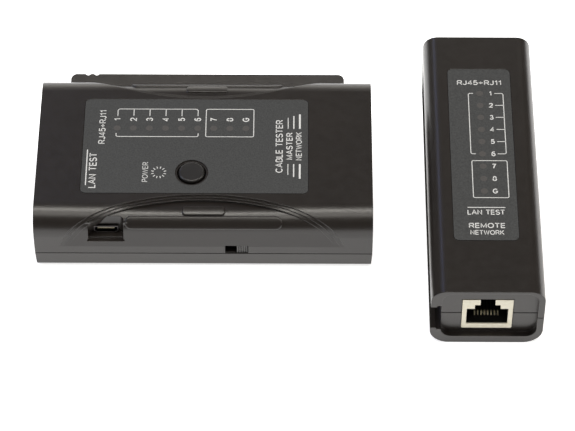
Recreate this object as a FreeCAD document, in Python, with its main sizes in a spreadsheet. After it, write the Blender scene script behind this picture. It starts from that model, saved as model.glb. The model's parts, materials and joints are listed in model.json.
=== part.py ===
import FreeCAD, Part
import Sketcher
import math
import os
import re

from FreeCAD import Placement, Rotation, Vector

# Network cable tester: a master unit that lies along X and a slimmer remote unit that lies
# along Y at its right. Millimetres. The row origin is the middle of the pair's footprint,
# at table level. +X runs along the master's length, +Y away from its USB side, +Z up.
# Each unit is modelled from its own corner, and its Placement carries it to the pair's frame.

SIZES = {
    # pair
    "unit_length": 105.0,
    "master_left": -78.28,
    "master_front": -23.0,
    "remote_middle": 61.03,
    "remote_front": -52.5,
    # shells
    "master_depth": 62.2,
    "master_height": 21.6,
    "master_seam": 6.4,
    "shoulder": 7.8,
    "side_wall": 2.3,
    "end_wall": 4.2,
    "end_inset": 2.0,
    "floor_wall": 2.0,
    "foot_round": 1.5,
    "foot_lean": 0.3,
    "seam_gap": 0.3,
    "seam_depth": 0.5,
    "cavity_top": 18.6,
    "cavity_round": 4.3,
    "roof_under": 19.3,
    "roof_margin": 13.0,
    # terraced arches on the two long shoulders
    "arch_middle": 52.0,
    "arch_half": 56.8,
    "arch_rise": 37.75,
    "arch_apex": 11.0,
    "arch_lean": 18.0,
    "arch_step": 0.87,
    "tread_one": 0.45,
    "tread_two": 0.85,
    "round_z": 13.8,
    "recess_y": 7.0,
    "recess_round": 6.0,
    "recess_foot": 9.5,
    "pill_length": 48.6,
    "pill_width": 4.1,
    "pill_angle": 43.0,
    "oval_length": 13.2,
    "oval_width": 3.1,
    "oval_angle": 79.0,
    "pad_lift": 0.6,
    "pad_edge": 0.42,
    "pad_middle": 52.6,
    # docking rail on the master's far side
    "rail_length": 88.0,
    "rail_root": 1.8,
    "rail_reach": 3.3,
    "rail_bottom": 7.0,
    "rail_top": 17.2,
    "rail_hook": 1.3,
    "rail_corner": 2.0,
    "notch_one": 13.95,
    "notch_two": 16.75,
    "notch_radius": 0.95,
    # labels
    "label_left": 14.2,
    "label_front": 11.5,
    "label_length": 70.7,
    "label_width": 39.0,
    "label_round": 1.7,
    "label_thick": 0.35,
    "label_sink": 0.25,
    # button and its switch
    "button_x": 48.6,
    "button_y": 19.9,
    "button_radius": 4.1,
    "button_hole": 5.2,
    "button_bore": 4.55,
    "button_flange": 6.0,
    "button_proud": 0.6,
    "button_foot": 17.3,
    "switch_body": 6.0,
    # lamps
    "lamp_pitch": 5.08,
    "lamp_first": 24.65,
    "lamp_row": 38.3,
    "lamp_radius": 1.5,
    "lamp_hole": 1.65,
    "lamp_shoulder": 15.7,
    "power_x": 38.45,
    "power_y": 19.9,
    # boards
    "board_thick": 1.6,
    "main_board_z": 3.9,
    "top_board_z": 9.8,
    # micro USB socket
    "usb_x": 22.3,
    "usb_z": 12.1,
    "usb_front": 3.5,
    "usb_width": 7.6,
    "usb_height": 3.0,
    "usb_depth": 5.3,
    "usb_skin": 0.35,
    "usb_pocket": 11.0,
    "usb_back": 4.2,
    # slide switch
    "slot_left": 59.2,
    "slot_width": 7.2,
    "slot_top": 9.9,
    "slider_width": 3.3,
    # modular jacks
    "jack_height": 13.6,
    "jack_depth": 15.6,
    "jack_floor": 2.1,
    "rj45_width": 15.4,
    "rj45_mouth": 12.6,
    "rj11_width": 13.4,
    "rj11_mouth": 9.8,
    "jack_bore": 13.0,
    "jack_gap": 0.15,
    "master_rj45_y": 22.0,
    "master_rj11_y": 40.2,
    # battery
    "battery_left": 74.4,
    "battery_width": 26.2,
    "battery_front": 6.3,
    "battery_length": 46.5,
    "battery_z": 1.65,
    "battery_thick": 16.8,
    "door_left": 73.8,
    "door_margin": 6.0,
    "door_thick": 1.5,
    "door_gap": 0.15,
    # remote
    "remote_half": 17.25,
    "remote_height": 24.5,
    "remote_seam": 12.2,
    "remote_top_round": 4.7,
    "remote_foot_round": 6.0,
    "remote_roof": 2.2,
    "remote_right_wall": 2.2,
    "slot_wall": -13.9,
    "slot_lip": 1.9,
    "slot_low": 7.1,
    "slot_high": 17.1,
    "slot_hook": 0.7,
    "slot_stop": 8.2,
    "remote_jack_x": 0.1,
    "remote_jack_z": 4.8,
    "remote_board_z": 18.8,
    "remote_label_left": -9.95,
    "remote_label_front": 20.2,
    "remote_label_width": 19.85,
    "remote_lamp_x": 0.0,
    "remote_lamp_first": 39.8,
}

doc = FreeCAD.newDocument("NetworkCableTester")
sheet = doc.addObject("Spreadsheet::Sheet", "Sizes")
for row, (alias, value) in enumerate(SIZES.items(), start=1):
    sheet.set("A%d" % row, alias)
    sheet.set("B%d" % row, str(value))
    sheet.setAlias("B%d" % row, alias)
doc.recompute()

ALIAS_WORD = re.compile(r"\b(" + "|".join(sorted(SIZES, key=len, reverse=True)) + r")\b")
subparts = []


def formula(text):
    """Turn 'side_wall + 2' into an expression that reads the spreadsheet."""
    return ALIAS_WORD.sub(r"Sizes.\1", str(text))


def amount(text):
    """The number that a formula stands for, for shapes that take plain numbers."""
    return float(sheet.evalExpression(formula(text).replace("Sizes.", "")))


def bind(feature, **formulas):
    for name, text in formulas.items():
        feature.setExpression(name, formula(text))


def put(feature, x, y, z):
    feature.setExpression("Placement.Base.x", formula(x))
    feature.setExpression("Placement.Base.y", formula(y))
    feature.setExpression("Placement.Base.z", formula(z))


# ---------------------------------------------------------------- primitives and booleans


def box(name, x, y, z, length, width, height):
    feature = doc.addObject("Part::Box", name)
    bind(feature, Length=length, Width=width, Height=height)
    put(feature, x, y, z)
    return feature


AXES = {
    "x": Rotation(Vector(0, 1, 0), 90),
    "y": Rotation(Vector(1, 0, 0), -90),
    "z": Rotation(),
}


def cylinder(name, x, y, z, radius, height, axis="z"):
    feature = doc.addObject("Part::Cylinder", name)
    feature.Placement = Placement(Vector(), AXES[axis])
    bind(feature, Radius=radius, Height=height)
    put(feature, x, y, z)
    return feature


def ball(name, x, y, z, radius):
    feature = doc.addObject("Part::Sphere", name)
    bind(feature, Radius=radius)
    put(feature, x, y, z)
    return feature


def fuse(name, pieces):
    feature = doc.addObject("Part::MultiFuse", name)
    feature.Shapes = pieces
    feature.Refine = True
    return feature


def cut(name, base, tools):
    tool = tools[0]
    if len(tools) > 1:
        tool = doc.addObject("Part::Compound", name + "_tools")
        tool.Links = tools
    feature = doc.addObject("Part::Cut", name)
    feature.Base = base
    feature.Tool = tool
    return feature


def common(name, pieces):
    feature = doc.addObject("Part::MultiCommon", name)
    feature.Shapes = pieces
    return feature


def compound(name, pieces):
    feature = doc.addObject("Part::Compound", name)
    feature.Links = pieces
    return feature


def rounded(name, base, radius, chosen):
    """Round the edges of a piece for which chosen(edge) is true."""
    doc.recompute()
    feature = doc.addObject("Part::Fillet", name)
    feature.Base = base
    size = amount(radius)
    edges = base.Shape.Edges
    feature.Edges = [(number, size, size) for number, edge in enumerate(edges, 1) if chosen(edge)]
    return feature


def along(edge, direction):
    """True for a straight edge that runs along X, Y or Z."""
    if len(edge.Vertexes) != 2:
        return False
    step = edge.Vertexes[1].Point - edge.Vertexes[0].Point
    if step.Length < 1e-6:
        return False
    return abs(abs(step.normalize().dot(direction)) - 1) < 1e-6


X_WAY = Vector(1, 0, 0)
Y_WAY = Vector(0, 1, 0)
Z_WAY = Vector(0, 0, 1)


def runs(direction, low=None, high=None, axis=2):
    """An edge chooser: edges along a direction whose middle lies between low and high."""

    def chosen(edge):
        if not along(edge, direction):
            return False
        middle = edge.CenterOfMass[axis]
        return (low is None or middle > low) and (high is None or middle < high)

    return chosen


# ---------------------------------------------------------------- sketched bodies


def new_body(name):
    return doc.addObject("PartDesign::Body", name)


def origin_plane(body, role):
    return next(item for item in body.Origin.OriginFeatures if item.Role == role)


def sketch_on(body, name, role):
    sketch = body.newObject("Sketcher::SketchObject", name)
    sketch.AttachmentSupport = [(origin_plane(body, role), "")]
    sketch.MapMode = "FlatFace"
    return sketch


def pin_point(sketch, line, end, x, y):
    """Hold one end of a line at a place worked out from the spreadsheet."""
    for kind, text in (("DistanceX", x), ("DistanceY", y)):
        number = sketch.addConstraint(Sketcher.Constraint(kind, -1, 1, line, end, amount(text)))
        sketch.setExpression("Constraints[%d]" % number, formula(text))


def polygon(body, name, role, corners):
    """A closed outline of straight lines through corners given as formulas."""
    sketch = sketch_on(body, name, role)
    points = [Vector(amount(x), amount(y), 0) for x, y in corners]
    count = len(points)
    for index in range(count):
        sketch.addGeometry(Part.LineSegment(points[index], points[(index + 1) % count]), False)
    for index in range(count):
        sketch.addConstraint(Sketcher.Constraint("Coincident", index, 2, (index + 1) % count, 1))
    for index, (x, y) in enumerate(corners):
        pin_point(sketch, index, 1, x, y)
    return sketch


def rectangle(body, name, role, left, low, right, high):
    return polygon(body, name, role, [(left, low), (right, low), (right, high), (left, high)])


def disc(body, name, role, x, y, radius):
    sketch = sketch_on(body, name, role)
    sketch.addGeometry(Part.Circle(Vector(amount(x), amount(y), 0), Z_WAY, amount(radius)), False)
    number = sketch.addConstraint(Sketcher.Constraint("Radius", 0, amount(radius)))
    sketch.setExpression("Constraints[%d]" % number, formula(radius))
    pin_point(sketch, 0, 3, x, y)
    return sketch


def pad(body, sketch, length, reverse=False):
    feature = body.newObject("PartDesign::Pad", sketch.Name + "_pad")
    feature.Profile = sketch
    feature.Reversed = reverse
    bind(feature, Length=length)
    return feature


def pocket(body, sketch, length, reverse=False):
    """Cut a sketch into its body, and stop if it cut nothing."""
    doc.recompute()
    before = body.Shape.Volume
    feature = body.newObject("PartDesign::Pocket", sketch.Name + "_pocket")
    feature.Profile = sketch
    feature.Reversed = reverse
    bind(feature, Length=length)
    doc.recompute()
    if body.Shape.Volume > before - 1e-6:
        raise ValueError(sketch.Name + " cuts nothing")
    return feature


def body_fillet(body, radius, chosen):
    """Round the edges of a body for which chosen(edge) is true."""
    doc.recompute()
    base = body.Tip
    edges = base.Shape.Edges
    names = ["Edge%d" % number for number, edge in enumerate(edges, 1) if chosen(edge)]
    feature = body.newObject("PartDesign::Fillet", body.Name + "_edges%d" % len(body.Group))
    feature.Base = (base, names)
    bind(feature, Radius=radius)
    doc.recompute()


# ---------------------------------------------------------------- handing over


MASTER_PLACE = ("master_left", "master_front", "0")
REMOTE_PLACE = ("remote_middle", "remote_front", "0")


def hand_over(feature, label, place):
    """Name a finished sub-part and carry it from its unit's corner to the pair's frame."""
    feature.Label = label
    put(feature, *place)
    subparts.append(feature)


def hand_over_at(feature, label, place, x, y, z, turn=0):
    """The same for a piece modelled about its own corner, which sits at x, y, z in its unit."""
    feature.Placement = Placement(Vector(), Rotation(Z_WAY, turn))
    shifted = ["%s + (%s)" % (base, step) for base, step in zip(place, (x, y, z))]
    hand_over(feature, label, shifted)


# ---------------------------------------------------------------- master shells


def mirrored_y(name, feature):
    """The same piece on the master's far side, mirrored about its middle."""
    twin = doc.addObject("Part::Mirroring", name)
    twin.Source = feature
    twin.Normal = Y_WAY
    bind(twin, **{"Base.y": "master_depth / 2"})
    return twin


def arch_prism(name, shrink):
    """An elliptic prism that leans into the shoulder: what lies in it is inside the arch's edge."""
    outline = doc.addObject("Part::Ellipse", name + "_outline")
    lean = amount("arch_lean")
    outline.Placement = Placement(Vector(), Rotation(X_WAY, lean))
    bind(outline, MajorRadius="arch_half - " + shrink, MinorRadius="arch_rise - " + shrink)
    # the ellipse's far end touches the top face at the arch's apex
    away = 30
    put(
        outline,
        "arch_middle",
        "arch_apex - arch_rise * cos(arch_lean * 1 deg) - %d * sin(arch_lean * 1 deg)" % away,
        "master_height - arch_rise * sin(arch_lean * 1 deg) + %d * cos(arch_lean * 1 deg)" % away,
    )
    prism = doc.addObject("Part::Extrusion", name)
    prism.Base = outline
    prism.DirMode = "Custom"
    prism.Dir = Vector(0, math.sin(math.radians(lean)), -math.cos(math.radians(lean)))
    prism.LengthFwd = 2 * away
    prism.Solid = True
    return prism


def outside_core(name, core_y, radius):
    """The space outside a rounded core that lies inside the near shoulder."""
    block = box(name + "_block", "0", "-1", "recess_foot", "unit_length", "17", "20")
    core = cylinder(name + "_core", "-1", core_y, "round_z", radius, "unit_length + 2", "x")
    deep = box(name + "_deep", "-1", core_y, "0", "unit_length + 2", "30", "round_z + " + radius)
    # below the round, the core's side leans out until it meets the shell's side at the foot
    lean = doc.addObject("Part::Wedge", name + "_lean")
    bind(
        lean,
        Xmin="-1",
        Xmax="unit_length + 1",
        X2min="-1",
        X2max="unit_length + 1",
        Ymin="0",
        Ymax="round_z + 1 - recess_foot",
        Zmin="-30",
        Zmax="0",
        Z2min="-30",
        Z2max="0 - (%s - (%s)) * 1.1" % (core_y, radius),
    )
    lean.Placement = Placement(Vector(), Rotation(X_WAY, 90))
    put(lean, "0", "0", "recess_foot")
    return cut(name, block, [core, deep, lean])


def terraces():
    """The tools that sink each arch in three steps, near side and far side."""
    cores = [
        ("shoulder", "shoulder - tread_one"),
        ("shoulder", "shoulder - tread_two"),
        ("recess_y", "recess_round"),
    ]
    tools = []
    for number, (core_y, radius) in enumerate(cores):
        inside = arch_prism("arch_prism_%d" % number, "%d * arch_step" % number)
        outside = outside_core("arch_space_%d" % number, core_y, radius)
        near = common("arch_tool_%d" % number, [inside, outside])
        tools += [near, mirrored_y("far_arch_tool_%d" % number, near)]
    return tools


def raised_pad(name, angle, length, width, corner):
    """A pad with round ends that stands on the recess floor, square to it at an angle."""
    sunk = "(recess_round - 1.2)"
    slab = box(name + "_slab", "0", "0", "0", length, width, "4")
    stadium = rounded(name + "_stadium", slab, corner, runs(Z_WAY))
    stadium.Placement = Placement(Vector(), Rotation(X_WAY, 90 - amount(angle)))
    # the slab's foot lies just under the recess floor, and its middle faces along the angle
    sine = "sin(%s * 1 deg)" % angle
    cosine = "cos(%s * 1 deg)" % angle
    put(
        stadium,
        "pad_middle - %s / 2" % length,
        "recess_y - %s * %s - %s / 2 * %s" % (sunk, cosine, width, sine),
        "round_z + %s * %s - %s / 2 * %s" % (sunk, sine, width, cosine),
    )
    reach = "recess_round + pad_lift"
    crown = cylinder(name + "_crown", "0", "recess_y", "round_z", reach, "unit_length", "x")
    sharp = common(name + "_sharp", [stadium, crown])
    axis_y = amount("recess_y")
    axis_z = amount("round_z")
    floor = amount("recess_round")

    def on_crown(edge):
        middle = edge.CenterOfMass
        return math.hypot(middle.y - axis_y, middle.z - axis_z) > floor + 0.2

    return rounded(name, sharp, "pad_edge", on_crown)


def seam_groove(name, length, width, seam, left="0", side="seam_depth", end="seam_depth"):
    """The fine groove around a unit where its two shells meet, just under the seam."""
    outer = box(
        name + "_outer",
        left + " - 1",
        "-1",
        seam + " - seam_gap",
        length + " + 2",
        width + " + 2",
        "seam_gap + 1",
    )
    inner = box(
        name + "_inner",
        "%s + %s" % (left, end),
        side,
        seam + " - seam_gap - 1",
        "%s - 2 * (%s)" % (length, end),
        "%s - 2 * (%s)" % (width, side),
        "4",
    )
    return cut(name, outer, [inner])


def end_pocket(name, left):
    """The shallow pocket that sets an end face back behind the shells' rim."""
    block = box(
        name + "_block",
        left,
        "1.6",
        "2.2",
        "end_inset + 1",
        "master_depth - 3.2",
        "master_height - 3.6",
    )
    top = rounded(name + "_top", block, "shoulder - 1.5", runs(X_WAY, low=12))
    return rounded(name, top, "2.0", runs(X_WAY, high=12))


def screw_places():
    return [("8.6", "8.2"), ("8.6", "master_depth - 8.6"), ("70.2", "8.2"), ("70.2", "master_depth - 8.6")]


def jack_windows(name, height_from, height_to):
    """The two jack openings in the master's left end wall."""
    windows = []
    for jack, width in (("rj45", "rj45_width"), ("rj11", "rj11_width")):
        middle = "master_%s_y" % jack
        windows.append(
            box(
                "%s_%s" % (name, jack),
                "1",
                "%s - %s / 2 - jack_gap" % (middle, width),
                height_from,
                "5",
                "%s + 2 * jack_gap" % width,
                "%s - (%s)" % (height_to, height_from),
            )
        )
    return windows


def make_master_upper_shell():
    height = "master_height - master_seam"
    block = box("upper_block", "0", "0", "master_seam", "unit_length", "master_depth", height)
    outer = rounded("upper_outer", block, "shoulder", runs(X_WAY, low=20))
    cavity_block = box(
        "upper_cavity_block",
        "end_wall",
        "side_wall",
        "master_seam - 1",
        "unit_length - 2 * end_wall",
        "master_depth - 2 * side_wall",
        "cavity_top - master_seam + 1",
    )
    cavity = rounded("upper_cavity", cavity_block, "cavity_round", runs(X_WAY, low=15))
    crown = box(
        "upper_crown",
        "end_wall",
        "roof_margin",
        "cavity_top - 1",
        "unit_length - 2 * end_wall",
        "master_depth - 2 * roof_margin",
        "roof_under - cavity_top + 1",
    )
    hollow = cut("upper_hollow", outer, [cavity, crown])

    carved = hollow
    for number, tool in enumerate(terraces()):
        carved = cut("upper_carved_%d" % number, carved, [tool])

    pill = raised_pad("pill", "pill_angle", "pill_length", "pill_width", "1.9")
    oval = raised_pad("oval", "oval_angle", "oval_length", "oval_width", "1.0")
    far_pill = mirrored_y("far_pill", pill)
    far_oval = mirrored_y("far_oval", oval)

    usb_block = box("usb_block", "15.4", "side_wall - 0.2", "11.2", "13.8", "3.3", "7.2")
    rail_left = "(unit_length - rail_length) / 2"
    # a dovetail bar: it grows out of the wall and gets taller towards its free edge
    dovetail = doc.addObject("Part::Wedge", "rail_dovetail")
    bind(
        dovetail,
        Xmin="0",
        Xmax="rail_length",
        X2min="0",
        X2max="rail_length",
        Ymin="0",
        Ymax="rail_root + rail_reach",
        Zmin="rail_bottom + rail_hook",
        Zmax="rail_top - rail_hook",
        Z2min="rail_bottom",
        Z2max="rail_top",
    )
    put(dovetail, rail_left, "master_depth - rail_root", "0")
    rail_plan = box(
        "rail_plan_block",
        rail_left,
        "master_depth - rail_root",
        "rail_bottom - 1",
        "rail_length",
        "rail_root + rail_reach",
        "rail_top - rail_bottom + 2",
    )
    plan = rounded("rail_plan", rail_plan, "rail_corner", runs(Z_WAY, low=amount("master_depth"), axis=1))
    rail = common("rail", [dovetail, plan])
    bosses = []
    for number, (x, y) in enumerate(screw_places()):
        boss_height = "cavity_top - master_seam + 0.3"
        bosses.append(cylinder("upper_boss_%d" % number, x, y, "master_seam", "3.0", boss_height))
    whole = fuse("upper_whole", [carved, pill, oval, far_pill, far_oval, usb_block, rail] + bosses)

    pocket_x = "usb_x - usb_pocket / 2"
    pocket_low = "usb_z - 0.1"
    pocket_block = box("usb_pocket_block", pocket_x, "-1", pocket_low, "usb_pocket", "usb_back + 1", "12")
    pocket_round = rounded("usb_pocket_round", pocket_block, "1.2", runs(Z_WAY, low=2, axis=1))
    usb_mouth = common("usb_mouth", [pocket_round, arch_prism("pocket_prism", "2 * arch_step")])
    ledge_x = pocket_x + " - 0.3"
    ledge_block = box("usb_ledge_block", ledge_x, "-1", "usb_z - 0.65", "usb_pocket + 0.6", "2.9", "0.8")
    usb_ledge = rounded("usb_ledge", ledge_block, "0.6", runs(Z_WAY, low=1, axis=1))
    usb_hole = box(
        "usb_hole",
        "usb_x - usb_width / 2 - 0.1",
        "1",
        "usb_z - 0.1",
        "usb_width + 0.2",
        "8",
        "usb_height + 0.2",
    )
    slot_height = "slot_top - master_seam + 1"
    slot_reach = "side_wall + 2"
    slot = box("switch_slot", "slot_left", "-1", "master_seam - 1", "slot_width", slot_reach, slot_height)
    hole = cylinder("button_bore_tool", "button_x", "button_y", "15", "button_bore", "12")
    label_block = box(
        "label_seat_block",
        "label_left - 0.1",
        "label_front - 0.1",
        "master_height - label_sink",
        "label_length + 0.2",
        "label_width + 0.2",
        "2",
    )
    label_seat = rounded("label_seat", label_block, "label_round", runs(Z_WAY))
    lamps = []
    for number in range(9):
        x = "lamp_first + %d * lamp_pitch" % number
        lamps.append(cylinder("lamp_bore_%d" % number, x, "lamp_row", "18", "lamp_hole", "6"))
    lamps.append(cylinder("power_bore", "power_x", "power_y", "18", "lamp_hole", "6"))
    screw_bores = []
    for number, (x, y) in enumerate(screw_places()):
        screw_bores.append(cylinder("upper_screw_bore_%d" % number, x, y, "5", "1.3", "8"))
    notches = []
    for number, x in enumerate(("notch_one", "notch_two")):
        y = "master_depth + rail_reach + 0.5"
        notches.append(cylinder("click_notch_%d" % number, x, y, "5", "notch_radius", "15"))
    ends = [end_pocket("left_pocket", "-1"), end_pocket("right_pocket", "unit_length - end_inset")]
    tools = [usb_mouth, usb_ledge, usb_hole, slot, hole, label_seat] + lamps + screw_bores + notches + ends
    window_top = "main_board_z + board_thick + jack_height + jack_gap"
    tools += jack_windows("upper_window", "master_seam - 1", window_top)
    shell = whole
    for number, tool in enumerate(tools):
        shell = cut("upper_cut_%d" % number, shell, [tool])
    hand_over(shell, "master_upper_shell", MASTER_PLACE)


def make_master_lower_shell():
    block = doc.addObject("Part::Wedge", "lower_block")
    bind(
        block,
        Xmin="foot_lean",
        Xmax="unit_length - foot_lean",
        X2min="0",
        X2max="unit_length",
        Ymin="0",
        Ymax="master_seam",
        Zmin="foot_lean - master_depth",
        Zmax="0 - foot_lean",
        Z2min="0 - master_depth",
        Z2max="0",
    )
    block.Placement = Placement(Vector(), Rotation(X_WAY, 90))
    outer = rounded("lower_outer", block, "foot_round", foot_edge)
    cavity = box(
        "lower_cavity",
        "end_wall",
        "side_wall",
        "floor_wall",
        "unit_length - 2 * end_wall",
        "master_depth - 2 * side_wall",
        "master_seam",
    )
    hollow = cut("lower_hollow", outer, [cavity])
    bosses = []
    bores = []
    for number, (x, y) in enumerate(screw_places()):
        bosses.append(cylinder("lower_boss_%d" % number, x, y, "1", "3.4", "master_seam - 1"))
        bores.append(cylinder("lower_head_bore_%d" % number, x, y, "-1", "2.9", "3.2"))
        bores.append(cylinder("lower_shank_bore_%d" % number, x, y, "1", "1.5", "8"))
    rests = []
    for number, (x, y) in enumerate((("24", "14"), ("24", "48"), ("60", "14"), ("60", "48"))):
        rests.append(cylinder("board_rest_%d" % number, x, y, "1", "2.2", "main_board_z - 1"))
    battery_rib = box("battery_rib", "72.0", "12", "1", "1.6", "master_depth - 24", "master_seam - 1")
    whole = fuse("lower_whole", [hollow, battery_rib] + bosses + rests)
    door_hole = box(
        "door_hole",
        "door_left - door_gap",
        "door_margin - door_gap",
        "-1",
        "40",
        "master_depth - 2 * door_margin + 2 * door_gap",
        "door_thick + door_gap + 1",
    )
    battery_hole = box(
        "battery_hole",
        "battery_left - 0.4",
        "door_margin - door_gap",
        "1",
        "battery_width + 0.2",
        "master_depth - 2 * door_margin + 2 * door_gap",
        "3",
    )
    groove = box(
        "door_groove",
        "door_left - door_gap",
        "door_margin - 1 - door_gap",
        "0.75",
        "40",
        "master_depth - 2 * door_margin + 2 + 2 * door_gap",
        "door_thick - 0.75 + door_gap",
    )
    tools = bores + [door_hole, battery_hole, groove]
    tools.append(end_pocket("lower_left_pocket", "-1"))
    tools.append(end_pocket("lower_right_pocket", "unit_length - end_inset"))
    tools += jack_windows("lower_window", "main_board_z + board_thick - jack_gap", "10")
    end = "end_inset + seam_depth"
    tools.append(seam_groove("lower_seam", "unit_length", "master_depth", "master_seam", end=end))
    shell = whole
    for number, tool in enumerate(tools):
        shell = cut("lower_cut_%d" % number, shell, [tool])
    hand_over(shell, "master_lower_shell", MASTER_PLACE)


def foot_edge(edge):
    """The four edges around a shell's foot."""
    return edge.CenterOfMass.z < 0.01


# ---------------------------------------------------------------- labels


def make_label(label, place, x, y, z, length, width, button=False):
    body = new_body(label)
    outline = rectangle(body, label + "_outline", "XY_Plane", "0", "0", length, width)
    pad(body, outline, "label_thick")
    body_fillet(body, "label_round", runs(Z_WAY))
    if button:
        spot = ("button_x - label_left", "button_y - label_front")
        pocket(body, disc(body, label + "_ring", "XY_Plane", *spot, "button_hole"), "5", reverse=True)
    hand_over_at(body, label, place, x, y, z)


# ---------------------------------------------------------------- button and switches


def turned(label, outline):
    """A body turned about its own Z axis from an outline of (radius, height) corners."""
    body = new_body(label)
    sketch = polygon(body, label + "_half", "XZ_Plane", outline)
    feature = body.newObject("PartDesign::Revolution", label + "_turn")
    feature.Profile = sketch
    feature.ReferenceAxis = (sketch, ["V_Axis"])
    feature.Angle = 360
    doc.recompute()
    return body


def make_test_button():
    top = "master_height + button_proud"
    flange_low = "button_foot + 0.6"
    flange_high = "roof_under - 0.2"
    outline = [
        ("0", "button_foot"),
        ("2.2", "button_foot"),
        ("2.2", flange_low),
        ("button_flange", flange_low),
        ("button_flange", flange_high),
        ("button_radius", flange_high),
        ("button_radius", top),
        ("0", top),
    ]
    body = turned("test_button_body", outline)
    rim = amount("master_height")
    body_fillet(body, "0.7", lambda edge: edge.CenterOfMass.z > rim and not along(edge, Z_WAY))
    hand_over_at(body, "test_button", MASTER_PLACE, "button_x", "button_y", "0")


def make_tact_switch():
    half = "switch_body / 2"
    body = new_body("tact_switch_body")
    base = rectangle(body, "tact_base", "XY_Plane", "0 - " + half, "0 - " + half, half, half)
    pad(body, base, "3.6")
    body_fillet(body, "0.4", runs(Z_WAY))
    bore = disc(body, "tact_bore", "XY_Plane", "0", "0", "1.75")
    pocket(body, bore, "3.6", reverse=True)
    top = "top_board_z + board_thick"
    hand_over_at(body, "tact_switch", MASTER_PLACE, "button_x", "button_y", top)
    plunger = cylinder("switch_plunger_rod", "0", "0", "0", "1.7", "3.6")
    hand_over_at(plunger, "switch_plunger", MASTER_PLACE, "button_x", "button_y", "button_foot - 3.6")


def make_slide_switch():
    top = "main_board_z + board_thick"
    case_block = box("slide_case_block", "slot_left - 0.6", "2.7", top, "slot_width + 1.2", "4.0", "3.9")
    window = box("slide_case_window", "slot_left", "2.0", top + " + 0.9", "slot_width", "3.0", "2.3")
    case = cut("slide_case", case_block, [window])
    hand_over(case, "slide_switch_case", MASTER_PLACE)
    left = "slot_left + slot_width - 0.25 - slider_width"
    bottom = "master_seam + 0.15"
    knob = box("slider_knob", left, "0.25", bottom, "slider_width", "2.2", "3.1")
    foot = box("slider_foot", left, "2.2", top + " + 1.0", "slider_width", "2.6", "2.1")
    grooves = []
    for number in range(4):
        x = left + " + 0.45 + %d * 0.72" % number
        grooves.append(box("slider_groove_%d" % number, x, "0", "5", "0.3", "0.6", "6"))
    slider = cut("slider", fuse("slider_block", [knob, foot]), grooves)
    hand_over(slider, "slide_switch_slider", MASTER_PLACE)


# ---------------------------------------------------------------- sockets


def make_jack(label, width, mouth, step, notch, place, x, y, z, turn):
    """A modular jack: local x is its width, its face lies at y = 0, and it opens towards -y."""
    body = new_body(label + "_body")
    edge = "%s / 2" % width
    block = rectangle(body, label + "_block", "XZ_Plane", "0 - " + edge, "0", edge, "jack_height")
    pad(body, block, "jack_depth", reverse=True)
    levels = [
        ("mouth", mouth, "jack_floor", "9.3"),
        ("step", step, "9.2", "11.1"),
        ("notch", notch, "11.0", "jack_height + 1"),
    ]
    for name, size, low, high in levels:
        half = "(%s) / 2" % size
        opening = rectangle(body, "%s_%s" % (label, name), "XZ_Plane", "0 - " + half, low, half, high)
        pocket(body, opening, "jack_bore")
    body_fillet(body, "0.5", runs(Y_WAY, high=0.5, axis=2))
    hand_over_at(body, label, place, x, y, z, turn)


def make_contacts(label, count, pitch, place, x, y, z, turn):
    """Spring contacts that rise from a jack's floor towards its back."""
    wires = []
    for number in range(count):
        offset = "%.4f" % ((number - (count - 1) / 2) * pitch)
        blade = box("%s_blade_%d" % (label, number), "0", "0", "0", "0.46", "8.2", "0.3")
        blade.Placement = Placement(Vector(), Rotation(X_WAY, 17))
        put(blade, offset + " - 0.23", "3.2", "jack_floor + 0.05")
        wires.append(blade)
    group = compound(label + "_row", wires)
    hand_over_at(group, label, place, x, y, z, turn)


def make_jacks():
    top = "main_board_z + board_thick"
    face = "end_inset - 0.15"
    rj45 = ("rj45_width", "rj45_mouth", "7.8", "4.5")
    rj11 = ("rj11_width", "rj11_mouth", "6.2", "3.6")
    middle = "remote_jack_x"
    low = "remote_jack_z"
    back = "unit_length - (%s)" % face
    make_jack("master_rj45_housing", *rj45, MASTER_PLACE, face, "master_rj45_y", top, -90)
    make_contacts("master_rj45_contacts", 8, 1.016, MASTER_PLACE, face, "master_rj45_y", top, -90)
    make_jack("master_rj11_housing", *rj11, MASTER_PLACE, face, "master_rj11_y", top, -90)
    make_contacts("master_rj11_contacts", 6, 1.27, MASTER_PLACE, face, "master_rj11_y", top, -90)
    make_jack("remote_rj45_housing", *rj45, REMOTE_PLACE, middle, face, low, 0)
    make_contacts("remote_rj45_contacts", 8, 1.016, REMOTE_PLACE, middle, face, low, 0)
    make_jack("remote_rj11_housing", *rj11, REMOTE_PLACE, middle, back, low, 180)
    make_contacts("remote_rj11_contacts", 6, 1.27, REMOTE_PLACE, middle, back, low, 180)


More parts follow.
